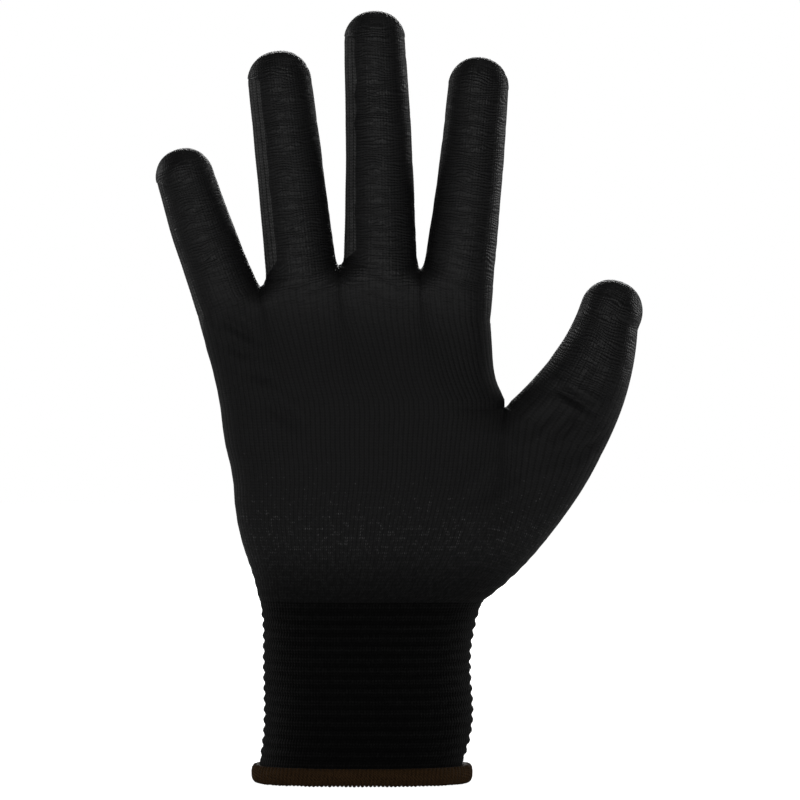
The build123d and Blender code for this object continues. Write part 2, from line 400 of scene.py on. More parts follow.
def softened(rows, group, seed):
    n = outward(rows)
    lift = waves(rows, seed) * rippleSize["slack"]
    z = rows[..., 2]
    if group == "palm":
        front = frontShare(rows)
        lift = lift + strokes(rows, front, "palm") + strokes(rows, front, "thumb")
        ridge = np.cos(2 * math.pi * z / rippleSize["elasticPitch"])
        bare = fade(*rippleSize["elasticFrom"], z) * fade(*rippleSize["elasticTo"], z)
        under = fade(*rippleSize["coatedFrom"], z) * fade(*rippleSize["coatedTo"], z)
        size = rippleSize["elastic"] * bare + rippleSize["coatedElastic"] * under
        lift = lift * fade(2 * mm, 12 * mm, z) + ridge * size
    if group == "thumb":
        lift = lift + strokes(rows, frontShare(rows), "thumb") + strokes(rows, frontShare(rows), "palm")
    if group == "finger":
        run = np.arange(rows.shape[0])[:, None] * rowPitch
        rng = np.random.default_rng(seed + 50)
        for k in range(rippleSize["fingerCount"]):
            at, tilt, wide = rng.uniform(8, 75) * mm, rng.uniform(-0.2, 0.2), rng.uniform(0.7, 1.6) * mm
            side = rng.uniform(-0.6, 0.6)
            place = np.linspace(-1, 1, rows.shape[1])[None, :]
            near = np.exp(-((place * 2 + 1 - side) / 0.8) ** 2)
            away = (run + tilt * place * 12 * mm - at) / wide
            lift = lift - rippleSize["finger"] * near * np.exp(-away ** 2)
    return rows + n * lift[..., None]


fingers = {n: softened(fingers[n], "finger", 3) for n in fingerNames}
thumb = softened(thumb, "thumb", 3)
upperPalm = softened(upperPalm, "palm", 3)
lowerHand = softened(lowerHand, "palm", 3)


def pinch(row, cols, columns):
    # the palm side and the back of a row come together at these columns
    for k in columns:
        row[k] = row[2 * cols - k] = (row[k] + row[2 * cols - k]) / 2


def meet(upper, thumbRows, stalls, lower):
    # sheets that meet share their edge rows, and each tip closes along its seam, so that no gap shows
    pinch(upper[-1], palmCols, [fingerCols, 2 * fingerCols, 3 * fingerCols])
    pinch(lower[-1], handCols, [palmCols])
    for i, n in enumerate(fingerNames):
        front = upper[-1][i * fingerCols : (i + 1) * fingerCols + 1]
        backEnd = 2 * palmCols - i * fingerCols
        stalls[n][0] = np.concatenate([front, upper[-1][backEnd - fingerCols + 1 : backEnd + 1]])
        pinch(stalls[n][-1], fingerCols, range(fingerCols + 1))
    across = lower[-1]
    upper[0] = np.concatenate([across[: palmCols + 1], across[2 * handCols - palmCols + 1 :]])
    thumbRows[0] = across[palmCols : handCols + thumbCols + 1]
    pinch(thumbRows[-1], thumbCols, range(thumbCols + 1))


meet(upperPalm, thumb, fingers, lowerHand)


def newGroup(name, inputs, outputs):
    group = bpy.data.node_groups.new(name, "ShaderNodeTree")
    for socket, kind, value in inputs:
        made = group.interface.new_socket(socket, in_out="INPUT", socket_type=kind)
        if value is not None:
            made.default_value = value
    for socket, kind in outputs:
        group.interface.new_socket(socket, in_out="OUTPUT", socket_type=kind)
    return group, group.nodes.new("NodeGroupInput"), group.nodes.new("NodeGroupOutput")


def calc(tree, operation, *values):
    node = tree.nodes.new("ShaderNodeMath")
    node.operation = operation
    for i, v in enumerate(values):
        if isinstance(v, (int, float)):
            node.inputs[i].default_value = v
        else:
            tree.links.new(v, node.inputs[i])
    return node.outputs[0]


def scaled(tree, value, factor, offset):
    return calc(tree, "MULTIPLY_ADD", value, factor, offset)


def times(tree, value, factor):
    return calc(tree, "MULTIPLY", value, factor)


def splitUp(tree, vector):
    node = tree.nodes.new("ShaderNodeSeparateXYZ")
    tree.links.new(vector, node.inputs[0])
    return node.outputs


def noiseOn(tree, vector, scale, detail, rough=0.55):
    node = tree.nodes.new("ShaderNodeTexNoise")
    node.inputs["Scale"].default_value = scale
    node.inputs["Detail"].default_value = detail
    node.inputs["Roughness"].default_value = rough
    tree.links.new(vector, node.inputs["Vector"])
    return node.outputs["Fac"]


def ramped(tree, value, stops):
    node = tree.nodes.new("ShaderNodeValToRGB")
    ramp = node.color_ramp
    ramp.elements[0].position, ramp.elements[0].color = stops[0][0], (*stops[0][1], 1)
    ramp.elements[1].position, ramp.elements[1].color = stops[-1][0], (*stops[-1][1], 1)
    for at, colour in stops[1:-1]:
        ramp.elements.new(at).color = (*colour, 1)
    tree.links.new(value, node.inputs["Fac"])
    return node.outputs["Color"]


def stitchGroup():
    # the two slanted legs of each stitch, from a UV map that counts columns and rows
    group, given, made = newGroup(
        "stitches",
        [("UV", "NodeSocketVector", None), ("Slant", "NodeSocketFloat", 1.1)],
        [("Height", "NodeSocketFloat"), ("Rib", "NodeSocketFloat"), ("Fleck", "NodeSocketFloat"),
         ("Ridge", "NodeSocketFloat")],
    )
    u, v = splitUp(group, given.outputs["UV"])[:2]
    within = calc(group, "FRACT", calc(group, "ADD", u, 0.5))
    side = calc(group, "ABSOLUTE", calc(group, "SUBTRACT", within, 0.5))
    fromLeg = calc(group, "ABSOLUTE", calc(group, "SUBTRACT", side, 0.23))
    leg = calc(group, "SUBTRACT", 1.0, times(group, fromLeg, 3.6))
    leg = calc(group, "POWER", calc(group, "MAXIMUM", leg, 0.0), 0.6)
    turn = calc(group, "ADD", v, times(group, side, given.outputs["Slant"]))
    wave = calc(group, "SINE", times(group, turn, 2 * math.pi))
    bead = calc(group, "ADD", times(group, wave, 0.5), 0.5)
    swell = times(group, calc(group, "POWER", bead, 0.7), 0.6)
    height = times(group, leg, calc(group, "ADD", swell, 0.4))
    group.links.new(height, made.inputs["Height"])
    wave = calc(group, "COSINE", times(group, u, 2 * math.pi))
    group.links.new(scaled(group, wave, -0.5, 0.5), made.inputs["Rib"])
    # rows at the pitch of the cuff's elastic ridges, used for painted light on their crests
    turns = knit["course"] / rippleSize["elasticPitch"] * 2 * math.pi
    ridge = calc(group, "COSINE", scaled(group, v, turns, 1.2 * mm / knit["course"] * turns))
    group.links.new(scaled(group, ridge, 0.5, 0.5), made.inputs["Ridge"])
    cell = group.nodes.new("ShaderNodeTexWhiteNoise")
    cell.noise_dimensions = "2D"
    whole = group.nodes.new("ShaderNodeVectorMath")
    whole.operation = "FLOOR"
    group.links.new(given.outputs["UV"], whole.inputs[0])
    group.links.new(whole.outputs[0], cell.inputs["Vector"])
    group.links.new(cell.outputs["Value"], made.inputs["Fleck"])
    return group


def fibreGroup():
    # fine strands along the yarn, and slow unevenness of the dye
    group, given, made = newGroup(
        "fibres",
        [("UV", "NodeSocketVector", None), ("Place", "NodeSocketVector", None)],
        [("Strand", "NodeSocketFloat"), ("Cloud", "NodeSocketFloat"), ("Ripple", "NodeSocketFloat"),
         ("Speck", "NodeSocketFloat"), ("Courses", "NodeSocketFloat")],
    )
    layers = [("Strand", (9.0, 2.2, 1.0), 3), ("Ripple", (0.28, 0.8, 1.0), 2), ("Speck", (0.9, 0.6, 1.0), 1)]
    for output, scale, detail in layers:
        stretch = group.nodes.new("ShaderNodeVectorMath")
        stretch.operation = "MULTIPLY"
        stretch.inputs[1].default_value = scale
        group.links.new(given.outputs["UV"], stretch.inputs[0])
        group.links.new(noiseOn(group, stretch.outputs[0], 1.0, detail), made.inputs[output])
    group.links.new(noiseOn(group, given.outputs["Place"], 38.0, 4), made.inputs["Cloud"])
    # rows of stitches that waver a little, as the dip rounds them over
    rows = splitUp(group, given.outputs["UV"])[1]
    bent = scaled(group, noiseOn(group, given.outputs["UV"], 0.22, 1), 4.0, rows)
    course = calc(group, "SINE", times(group, bent, 2 * math.pi))
    group.links.new(scaled(group, course, 0.5, 0.5), made.inputs["Courses"])
    return group


stitches, fibres = stitchGroup(), fibreGroup()


def startMaterial(name, roughness, sheen, specular):
    material = bpy.data.materials.new(name)
    material.use_nodes = True
    tree = material.node_tree
    shader = tree.nodes["Principled BSDF"]
    shader.inputs["Roughness"].default_value = roughness
    shader.inputs["Sheen Weight"].default_value = sheen
    shader.inputs["Sheen Roughness"].default_value = 0.45
    shader.inputs["Specular IOR Level"].default_value = specular
    place = tree.nodes.new("ShaderNodeTexCoord").outputs["Object"]
    uv = tree.nodes.new("ShaderNodeUVMap")
    uv.uv_map = "stitches"
    return tree, shader, place, uv.outputs["UV"]


def useGroup(tree, group, links):
    node = tree.nodes.new("ShaderNodeGroup")
    node.node_tree = group
    for socket, source in links.items():
        tree.links.new(source, node.inputs[socket])
    return node


def bump(tree, height, strength, distance, before=None):
    node = tree.nodes.new("ShaderNodeBump")
    node.inputs["Strength"].default_value = strength
    node.inputs["Distance"].default_value = distance
    tree.links.new(height, node.inputs["Height"])
    if before is not None:
        tree.links.new(before, node.inputs["Normal"])
    return node.outputs["Normal"]


def added(tree, *parts):
    # a sum of (value, share) pairs
    total = 0.0
    for value, share in parts:
        total = scaled(tree, value, share, total)
    return total


def spread(tree, value, low, high):
    # 0 at and below one value, 1 at and above the other, smooth between
    node = tree.nodes.new("ShaderNodeMapRange")
    node.interpolation_type = "SMOOTHSTEP"
    node.inputs["From Min"].default_value, node.inputs["From Max"].default_value = low, high
    tree.links.new(value, node.inputs["Value"])
    return node.outputs["Result"]


dip = {
    "dark": (0.003, 0.003, 0.0031),
    "light": (0.019, 0.019, 0.020),
    "bright": (0.15, 0.15, 0.155),  # crests of the stitches low on the palm: lighter knit under the thin dip, with a painted highlight on top
    "palmRough": 0.76,
    "fingerRough": 0.46,
    "stitchDepth": 0.00026,
    "rippleDepth": 0.00022,
    "thumbShine": 0.030,  # the thumb shines as the fingers do this much higher up
    "fingersFrom": (0.140, 0.172),
    "heelUpTo": (0.066, 0.120),
    "edgeFade": (0.0580, 0.0800),  # the dip thins out towards its lower edge
    "crestFrom": (0.66, 0.98),  # which stitches have thin, shiny crests
    "crestOnHeel": 0.30,
    "crestTone": 0.55,
    "crestShine": -0.30,
    "edgeRough": 0.24,
    "grainBump": (0.25, 0.00006),  # strength and distance
}


def attributeOf(tree, name):
    node = tree.nodes.new("ShaderNodeAttribute")
    node.attribute_name = name
    return node.outputs["Fac"]


def keepHeights(obj, name, raised=0.0):
    # each point's height at rest, which stays with it when the hand bends
    kept = obj.data.attributes.new(name, "FLOAT", "POINT")
    kept.data.foreach_set("value", [v.co.z + raised for v in obj.data.vertices])


liner = {
    "dark": (0.004, 0.004, 0.004),
    "light": (0.22, 0.22, 0.22),
    "middleDivisor": 2.6,  # the middle colour is the sum of the two over this
    "fleck": 0.12,  # unevenness from stitch to stitch
    "cuffShare": 0.28,  # the cuff is darker
    "cuffRidgeLight": 0.05,  # and painted light on the crests of its elastic ridges, a little lighter
    "rough": 0.72,
    "strandBump": (0.35, 0.00008),  # strength and distance
    "stitchBump": (0.9, 0.00035),
}


def knitFinish(name):
    tree, shader, place, uv = startMaterial(name, 0.86, 0.05, 0.08)
    loop = useGroup(tree, stitches, {"UV": uv})
    yarn = useGroup(tree, fibres, {"UV": uv, "Place": place})
    stitch, rib, strand = loop.outputs["Height"], loop.outputs["Rib"], yarn.outputs["Strand"]
    tone = added(tree, (stitch, 0.5), (strand, 0.3), (rib, 0.25))
    tone = scaled(tree, loop.outputs["Fleck"], liner["fleck"], tone)
    above = spread(tree, attributeOf(tree, "restHeight"), *dip["edgeFade"])
    # the cuff's colour: darker, with painted light on the crests of its elastic ridges
    cuffTone = added(tree, (tone, liner["cuffShare"]), (loop.outputs["Ridge"], liner["cuffRidgeLight"]))
    tone = added(tree, (above, calc(tree, "SUBTRACT", tone, cuffTone)), (cuffTone, 1.0))
    middle = tuple((a + b) / liner["middleDivisor"] for a, b in zip(liner["dark"], liner["light"]))
    colours = [(0.2, liner["dark"]), (0.65, middle), (1.0, liner["light"])]
    tree.links.new(ramped(tree, tone, colours), shader.inputs["Base Color"])
    rough = scaled(tree, yarn.outputs["Cloud"], 0.2, liner["rough"])
    tree.links.new(rough, shader.inputs["Roughness"])
    fine = bump(tree, strand, *liner["strandBump"])
    height = added(tree, (stitch, 0.7), (rib, 0.8))
    tree.links.new(bump(tree, height, *liner["stitchBump"], fine), shader.inputs["Normal"])


def dipFinish(name):
    tree, shader, place, uv = startMaterial(name, 0.6, 0.0, 0.42)
    loop = useGroup(tree, stitches, {"UV": uv})
    yarn = useGroup(tree, fibres, {"UV": uv, "Place": place})
    level = attributeOf(tree, "shineHeight")
    onFingers = spread(tree, level, *dip["fingersFrom"])
    onHeel = calc(tree, "SUBTRACT", 1.0, spread(tree, level, *dip["heelUpTo"]))
    whole = spread(tree, level, *dip["edgeFade"])
    grain = noiseOn(tree, place, 900.0, 5, 0.6)
    patch = noiseOn(tree, place, 60.0, 4)
    # painted light and shade: the stitches, the ribs between their columns and the rows are painted into the
    # dip's colour, lighter where the bump raises them and darker between, besides the bump itself
    ribs = times(tree, loop.outputs["Rib"], scaled(tree, onFingers, -0.20, 0.26))
    tone = added(tree, (loop.outputs["Height"], 0.42), (ribs, 1.0), (patch, 0.36))
    rows = times(tree, yarn.outputs["Courses"], scaled(tree, onFingers, 0.22, 0.04))
    tone = calc(tree, "ADD", tone, rows)
    # stitches whose crests the dip left thin and shiny, most of them low on the palm; their lighter colour
    # is partly the knit showing through and partly a painted highlight
    speck = scaled(tree, onHeel, dip["crestOnHeel"], yarn.outputs["Speck"])
    chosen = spread(tree, speck, *dip["crestFrom"])
    crest = times(tree, chosen, calc(tree, "POWER", loop.outputs["Height"], 1.6))
    tone = scaled(tree, crest, dip["crestTone"], tone)
    tone = times(tree, tone, scaled(tree, whole, 0.5, 0.3))
    colours = [(0.18, dip["dark"]), (0.68, dip["light"]), (1.0, dip["bright"])]
    tree.links.new(ramped(tree, tone, colours), shader.inputs["Base Color"])
    change = dip["fingerRough"] - dip["palmRough"]
    rough = added(tree, (patch, 0.16), (onFingers, change), (crest, dip["crestShine"]))
    rough = added(tree, (rough, 1.0), (whole, -dip["edgeRough"]))
    rough = calc(tree, "ADD", rough, dip["palmRough"] - 0.08 + dip["edgeRough"])
    tree.links.new(rough, shader.inputs["Roughness"])
    film = bump(tree, grain, *dip["grainBump"])
    film = bump(tree, yarn.outputs["Ripple"], 0.8, dip["rippleDepth"], film)
    height = added(tree, (loop.outputs["Height"], 0.5), (ribs, 2.6), (rows, 2.2))
    tree.links.new(bump(tree, height, 0.8, dip["stitchDepth"], film), shader.inputs["Normal"])


def threadFinish(name, dark, light, twistScale):
    tree, shader, place, uv = startMaterial(name, 0.7, 0.03, 0.12)
    split = splitUp(tree, uv)
    along = calc(tree, "ADD", split[0], split[1])
    twist = calc(tree, "SINE", times(tree, along, twistScale))
    twist = calc(tree, "ADD", times(tree, twist, 0.5), 0.5)
    fuzz = noiseOn(tree, place, 1500.0, 4, 0.7)
    tone = calc(tree, "ADD", times(tree, twist, 0.45), times(tree, fuzz, 0.55))
    tree.links.new(ramped(tree, tone, [(0.2, dark), (0.85, light)]), shader.inputs["Base Color"])
    rough = calc(tree, "ADD", times(tree, fuzz, 0.25), 0.6)
    tree.links.new(rough, shader.inputs["Roughness"])
    fine = bump(tree, fuzz, 0.3, 0.00008)
    tree.links.new(bump(tree, twist, 0.5, 0.0001, fine), shader.inputs["Normal"])


threads = {
    # dark and light colour, and how often the strands twist
    "overlockThread": ((0.018, 0.009, 0.0034), (0.125, 0.066, 0.026), 9.0),
    "elasticThread": ((0.004, 0.004, 0.0045), (0.015, 0.015, 0.016), 12.0),
}
knitFinish("linerKnit")
dipFinish("dippedPalm")
for name, look in threads.items():
    threadFinish(name, *look)
print("finishes made")


def alone(obj):
    bpy.ops.object.select_all(action="DESELECT")
    obj.select_set(True)
    bpy.context.view_layer.objects.active = obj


def editWhole(obj, operation, **given):
    # one mesh operation over the whole of a piece
    alone(obj)
    bpy.ops.object.mode_set(mode="EDIT")
    bpy.ops.mesh.select_all(action="SELECT")
    operation(**given)
    bpy.ops.object.mode_set(mode="OBJECT")


def applyModifiers(obj):
    alone(obj)
    for m in list(obj.modifiers):
        bpy.ops.object.modifier_apply(modifier=m.name)


def gridOver(name, points, u, v):
    # a grid laid over rows of points, its doubled edges and poles closed
    # its UV map counts columns and rows
    rowsN, colsN = points.shape[0] - 1, points.shape[1] - 1
    bpy.ops.object.select_all(action="DESELECT")
    bpy.ops.mesh.primitive_grid_add(x_subdivisions=colsN, y_subdivisions=rowsN, size=1, calc_uvs=True)
    obj = bpy.context.object
    obj.name = obj.data.name = name
    mesh = obj.data
    flat = np.zeros(len(mesh.vertices) * 3)
    mesh.vertices.foreach_get("co", flat)
    flat = flat.reshape(-1, 3)
    col = np.rint((flat[:, 0] + 0.5) * colsN).astype(int)
    row = np.rint((flat[:, 1] + 0.5) * rowsN).astype(int)
    mesh.vertices.foreach_set("co", points[row, col].ravel())
    corner = np.zeros(len(mesh.loops), int)
    mesh.loops.foreach_get("vertex_index", corner)
    uv = np.stack([u[row, col], v[row, col]], 1)[corner]
    mesh.uv_layers.active.name = "stitches"
    mesh.uv_layers.active.data.foreach_set("uv", uv.ravel())
    mesh.update()
    editWhole(obj, bpy.ops.mesh.remove_doubles, threshold=0.00001)
    return obj


def clothPanel(name, points, wale, course, wall):
    # cloth over rows of points that face outwards, with its wall on the inside
    obj = gridOver(name, points, wale, course)
    mesh = obj.data
    middle = points.reshape(-1, 3).mean(0)
    outside = 0.0
    for p in mesh.polygons:
        outside += Vector((p.center.x - middle[0], p.center.y, 0)).dot(p.normal) * p.area
    if outside < 0:
        editWhole(obj, bpy.ops.mesh.flip_normals)
    solid = obj.modifiers.new("wall", "SOLIDIFY")
    solid.thickness = wall
    solid.offset = -1
    applyModifiers(obj)
    bpy.ops.object.shade_smooth_by_angle(angle=math.radians(62))
    return obj


def counted(rows):
    # how many columns and rows of stitches lie before each point
    wale = 0.5 + np.arange(rows.shape[1]) / steps
    course = np.arange(rows.shape[0]) / knit["courseSteps"]
    return np.meshgrid(wale, course)


def ribbed(rows):
    # the ribs between the columns of stitches, raised on a sheet
    wale, course = counted(rows)
    rib = np.cos(2 * math.pi * wale) * (0.8 + 0.2 * np.cos(2 * math.pi * course))
    return rows + outward(rows) * (rib * knit["relief"])[..., None]


knitFingers = {n: ribbed(fingers[n]) for n in fingerNames}
knitThumb, knitUpper, knitLower = ribbed(thumb), ribbed(upperPalm), ribbed(lowerHand)
meet(knitUpper, knitThumb, knitFingers, knitLower)


def knitPiece(name, rows, low, high, move, nodes):
    wale, course = counted(rows)
    obj = clothPanel(name, rows[low : high + 1], wale[low : high + 1], course[low : high + 1], knit["wall"])
    keepHeights(obj, "restHeight")
    obj.data.materials.append(bpy.data.materials["linerKnit"])
    move(obj)
    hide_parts(*nodes)


def coatPiece(name, rows, normals, low, high, leftEdge, rightEdge, move, nodes):
    # the dip, over the columns between two edges that wander a little
    # the edges are given in columns of stitches from the left
    cols = rows.shape[1] - 1
    leftmost = math.floor(np.min(leftEdge[low : high + 1]) * steps)
    rightmost = math.ceil(np.max(rightEdge[low : high + 1]) * steps)
    picked, wales, courses = [], [], []
    for r in range(low, high + 1):
        at = np.clip(np.arange(leftmost, rightmost + 1), leftEdge[r] * steps, rightEdge[r] * steps)
        before = np.floor(at).astype(int)
        part = (at - before)[:, None]
        a, b = before % cols, (before + 1) % cols
        point = rows[r, a] * (1 - part) + rows[r, b] * part
        normal = normals[r, a] * (1 - part) + normals[r, b] * part
        loops = 0.8 + 0.2 * math.cos(2 * math.pi * r / knit["courseSteps"])
        rib = np.cos(2 * math.pi * (at / steps + 0.5)) * loops
        lift = knit["relief"] * rib * coat["ribShare"] + coat["lift"] + coat["wall"]
        picked.append(point + normal * lift[:, None])
        wales.append(at / steps + 0.5)
        courses.append(np.full(len(at), r / knit["courseSteps"]))
    obj = clothPanel(name, np.array(picked), np.array(wales), np.array(courses), coat["wall"])
    keepHeights(obj, "shineHeight", dip["thumbShine"] if name.startswith("thumb") else 0)
    obj.data.materials.append(bpy.data.materials["dippedPalm"])
    move(obj)
    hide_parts(*nodes)


fingerNormals = {n: outward(fingers[n]) for n in fingerNames}
thumbNormals, upperNormals, lowerNormals = outward(thumb), outward(upperPalm), outward(lowerHand)
lowerNormals[-1] += np.concatenate(
    [upperNormals[0][: palmCols + 1], thumbNormals[0][1:-1], upperNormals[0][palmCols:]]
)
for i, n in enumerate(fingerNames):
    backEnd = 2 * palmCols - i * fingerCols
    upperNormals[-1][i * fingerCols : (i + 1) * fingerCols + 1] += fingerNormals[n][0][: fingerCols + 1]
    upperNormals[-1][backEnd - fingerCols : backEnd + 1] += fingerNormals[n][0][fingerCols:]
for row in (lowerNormals[-1], upperNormals[-1]):
    row /= np.maximum(np.linalg.norm(row, axis=1, keepdims=True), 1e-9)
meet(upperNormals, thumbNormals, fingerNormals, lowerNormals)


def rideOn(body):
    return lambda obj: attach(obj, body)


def blendOver():
    return lambda obj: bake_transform(obj)


def bendZone(name, hinge, before, after):
    # the two points, along a stall's axis, between which the cloth turns with a hinge
    origin, along = axes[name]
    place = origin + along * (hinges[hinge] - origin).dot(along)
    return place - along * before, place + along * after


def heightAlong(rows, name):
    # how far up a stall's axis the middle of each row lies
    origin, along = axes[name]
    return (rows.mean(1) - np.array(origin)) @ np.array(along)


def rowAt(rows, name, point):
    # the row of a stall whose middle lies nearest to a point of its axis
    origin, along = axes[name]
    return int(np.argmin(np.abs(heightAlong(rows, name) - (point - origin).dot(along))))


def edgeLine(count, base, sway, seed):
    # an edge of the dip that wanders by a few stitches
    rng = np.random.default_rng(seed)
    knots = max(count // 9, 4)
    wander = np.interp(np.linspace(0, 1, count), np.linspace(0, 1, knots), rng.normal(size=knots))
    return np.asarray(base) + wander * sway


dipEdges = {
    # columns from the left that stay bare on each stall, and columns past its right side that are dipped
    "little": (3.0, 0.4),
    "ring": (4.5, 0.2),
    "middle": (4.2, -1.6),
    "index": (0.6, -0.6),
    "thumb": (0.5, 0.6),
    "palm": (0.6, -0.9),
    "heelRight": 0.4,
    "sway": 0.16,
    "palmSway": 0.3,
    "webFade": 6 * mm,  # the bare columns narrow to nothing over this height above a web
    "tipWrap": (9.0 * mm, 3.0 * mm),  # the dip reaches the back between these distances below the end
    "low": 58.5 * mm,
}


def coverStall(name, rows, normals, knitRows, stallBends):
    # the knit and dip pieces of one stall, one for each bend
    fronts = rows.shape[1] // 2 / steps
    left, right = dipEdges[name]
    count = rows.shape[0]
    leftEdge = edgeLine(count, left, dipEdges["sway"], 11 + len(name))
    rightEdge = edgeLine(count, fronts + right, dipEdges["sway"], 29 + len(name))
    height = heightAlong(rows, name)
    wrapped = fade(height[-1] - dipEdges["tipWrap"][0], height[-1] - dipEdges["tipWrap"][1], height)
    fromWeb = fade(0, dipEdges["webFade"], np.arange(count) * rowPitch)
    if name != "little":
        leftEdge = leftEdge * fromWeb
    if name != "index":
        rightEdge = fronts + (rightEdge - fronts) * fromWeb
    leftEdge = leftEdge + (-fronts / 2 - leftEdge) * wrapped
    rightEdge = rightEdge + (1.5 * fronts - rightEdge) * wrapped
    low = 0
    for k, (part, hinge, a, b, before, after, knitNodes, coatNodes) in enumerate(stallBends):
        start, end = bendZone(name, hinge, before, after)
        if k + 1 < len(stallBends):
            following = bendZone(name, stallBends[k + 1][1], stallBends[k + 1][4], 0)[0]
            high = rowAt(rows, name, (end + following) / 2)
        else:
            high = count - 1
        move = blendOver()
        knitPiece(f"{name}_{part}_knit_cloth", knitRows, low, high, move, knitNodes)
        coatPiece(f"{name}_{part}_dip", rows, normals, low, high, leftEdge, rightEdge, move, coatNodes)
        low = high
    print(name, "covered")


def bendOf(name, part, bend, parent, stretch, before, after):
    # a bend of a stall: its piece, hinge and bodies, how far it reaches and the nodes it stands for
    body = f"{name}_{stretch}"
    knitNodes = [f"{name}_{bend}_crease", f"{body}_knit"]
    return part, f"{name}_{bend}_flex", parent, body, before, after, knitNodes, [f"{body}_coating"]


bends = {
    "fingerShare": 0.49,  # the cloth turns over this share of the way to the next hinge
    "fingerBase": 6.2 * mm,
    "thumbBase": 9.5 * mm,
    "thumbMiddle": 8.5 * mm,
    "thumbEnd": 9.0 * mm,
}
for name in fingerNames:
    rootAt, middleAt, tipAt = [hinges[f"{name}_{part}_flex"] for part in ("root", "middle", "tip")]
    first = (middleAt - rootAt).length * bends["fingerShare"]
    second = (tipAt - middleAt).length * bends["fingerShare"]
    coverStall(name, fingers[name], fingerNormals[name], knitFingers[name], [
        bendOf(name, "base", "root", "palm", "proximal", bends["fingerBase"], first),
        bendOf(name, "middle", "middle", f"{name}_proximal", "middle", first, second),
        bendOf(name, "tip", "tip", f"{name}_middle", "distal", second, second),
    ])
coverStall("thumb", thumb, thumbNormals, knitThumb, [
    bendOf("thumb", "base", "root", "palm", "proximal", bends["thumbBase"], bends["thumbMiddle"]),
    bendOf("thumb", "tip", "tip", "thumb_proximal", "distal", bends["thumbMiddle"], bends["thumbEnd"]),
])


heights = lowerHand[..., 2]
cuffRow = int(np.argmin(np.abs(heights[:, 0] - hand["cuffSplit"] * mm)))
palmRow = int(np.argmax(heights.min(1) > hand["palmSplit"] * mm))
wristBend = blendOver()
knitPiece("palm_upper_knit_cloth", knitUpper, 0, knitUpper.shape[0] - 1, rideOn("palm"), ["palm_knit"])
knitPiece("palm_lower_knit_cloth", knitLower, palmRow, knitLower.shape[0] - 1, rideOn("palm"), [])
knitPiece("wrist_knit_cloth", knitLower, cuffRow, palmRow, wristBend, ["wrist_crease_knit"])
knitPiece("cuff_knit_cloth", knitLower, 0, cuffRow, rideOn("cuff"), ["cuff_knit"])

dipRow = int(np.argmax(heights.mean(1) > dipEdges["low"]))
upperCount, lowerCount = upperPalm.shape[0], lowerHand.shape[0]
palmWales, handWales = palmCols / steps, handCols / steps
grow = np.linspace(0, 1, upperCount)
palmLeft, palmRight = dipEdges["palm"]
leftBase = palmLeft + (dipEdges["little"][0] - palmLeft) * fade(0.6, 1, grow)
rightBase = palmWales + palmRight + (dipEdges["index"][1] - palmRight) * fade(0.7, 1, grow)
upperLeft = edgeLine(upperCount, leftBase, dipEdges["sway"], 5)
upperEdges = upperLeft, edgeLine(upperCount, rightBase, dipEdges["palmSway"], 6)
lowerLeft = edgeLine(lowerCount, palmLeft, dipEdges["sway"], 7)
lowerEdges = lowerLeft, edgeLine(lowerCount, handWales + dipEdges["heelRight"], dipEdges["sway"], 8)
upper, lower = (upperPalm, upperNormals), (lowerHand, lowerNormals)
onPalm = rideOn("palm")
coatPiece("palm_upper_dip", *upper, 0, upperCount - 1, *upperEdges, onPalm, ["palm_coating"])
coatPiece("palm_lower_dip", *lower, palmRow, lowerCount - 1, *lowerEdges, onPalm, [])
coatPiece("wrist_dip", *lower, dipRow, palmRow, *lowerEdges, wristBend, ["wrist_crease_coating"])
print("palm, wrist and cuff covered")


hem = {
    "height": 6.6 * mm,
    "shift": -0.9 * mm,  # towards the little finger's side
    "out": 2.7 * mm,  # the binding stands this far out of the knit's face
    "inside": 0.7 * mm,  # and inside its back
    "sides": 16,
    "wrapPitch": 1.3 * mm,
    "thread": 0.46 * mm,  # radius of one wrap of thread
    "wrapRings": 15,
    "wrapSides": 6,
    "wrapEnds": (-1.35 * math.pi, 0.42 * math.pi),
    "lean": 0.35 * mm,  # the wraps lean a little along the edge
}
elastic = {"pitch": 3.4 * mm, "first": 8.6 * mm, "count": 11, "radius": 0.3 * mm, "depth": 1.75 * mm}


def mouthLoop(out, count):
    # a level loop round the cuff, grown by a distance, its points evenly spaced
    left, rightward, deep = float(leftAt(12 * mm)), float(withThumb(12 * mm)), float(depthAt(12 * mm))
    a = np.linspace(0, 2 * math.pi, 1441)
    power = 2 / hand["sectionPower"]
    half = (rightward - left) / 2 + out
    x = (left + rightward) / 2 + half * np.sign(np.cos(a)) * np.abs(np.cos(a)) ** power
    y = (deep + out) * np.sign(np.sin(a)) * np.abs(np.sin(a)) ** power
    alongX, alongY, length = evenly(x, y, count)
    return np.stack([alongX, alongY], 1), length


def finishSheet(obj, finish):
    editWhole(obj, bpy.ops.mesh.normals_make_consistent, inside=False)
    bpy.ops.object.shade_smooth()
    obj.data.materials.append(bpy.data.materials[finish])
    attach(obj, "cuff")


def loopPiece(name, outline, count, shift, finish):
    # a closed outline of (outward, height) swept round the mouth
    rows, runs = [], []
    for out, z in outline + outline[:1]:
        path, length = mouthLoop(out, count)
        rows.append(np.column_stack([path[:, 0] + shift, path[:, 1], np.full(count + 1, z)]))
        runs.append(np.linspace(0, length / mm, count + 1))
    turn = np.repeat(np.linspace(0, 1, len(rows))[:, None], count + 1, 1)
    obj = gridOver(name, np.array(rows), np.array(runs), turn)
    finishSheet(obj, finish)
    return obj


def rounded(angle, middle, half, bottom, top):
    # a point of the binding's rounded section
    c, s = math.cos(angle), math.sin(angle)
    out = middle + half * math.copysign(abs(c) ** 0.8, c)
    return out, (bottom + top) / 2 + (top - bottom) / 2 * math.copysign(abs(s) ** 0.7, s)


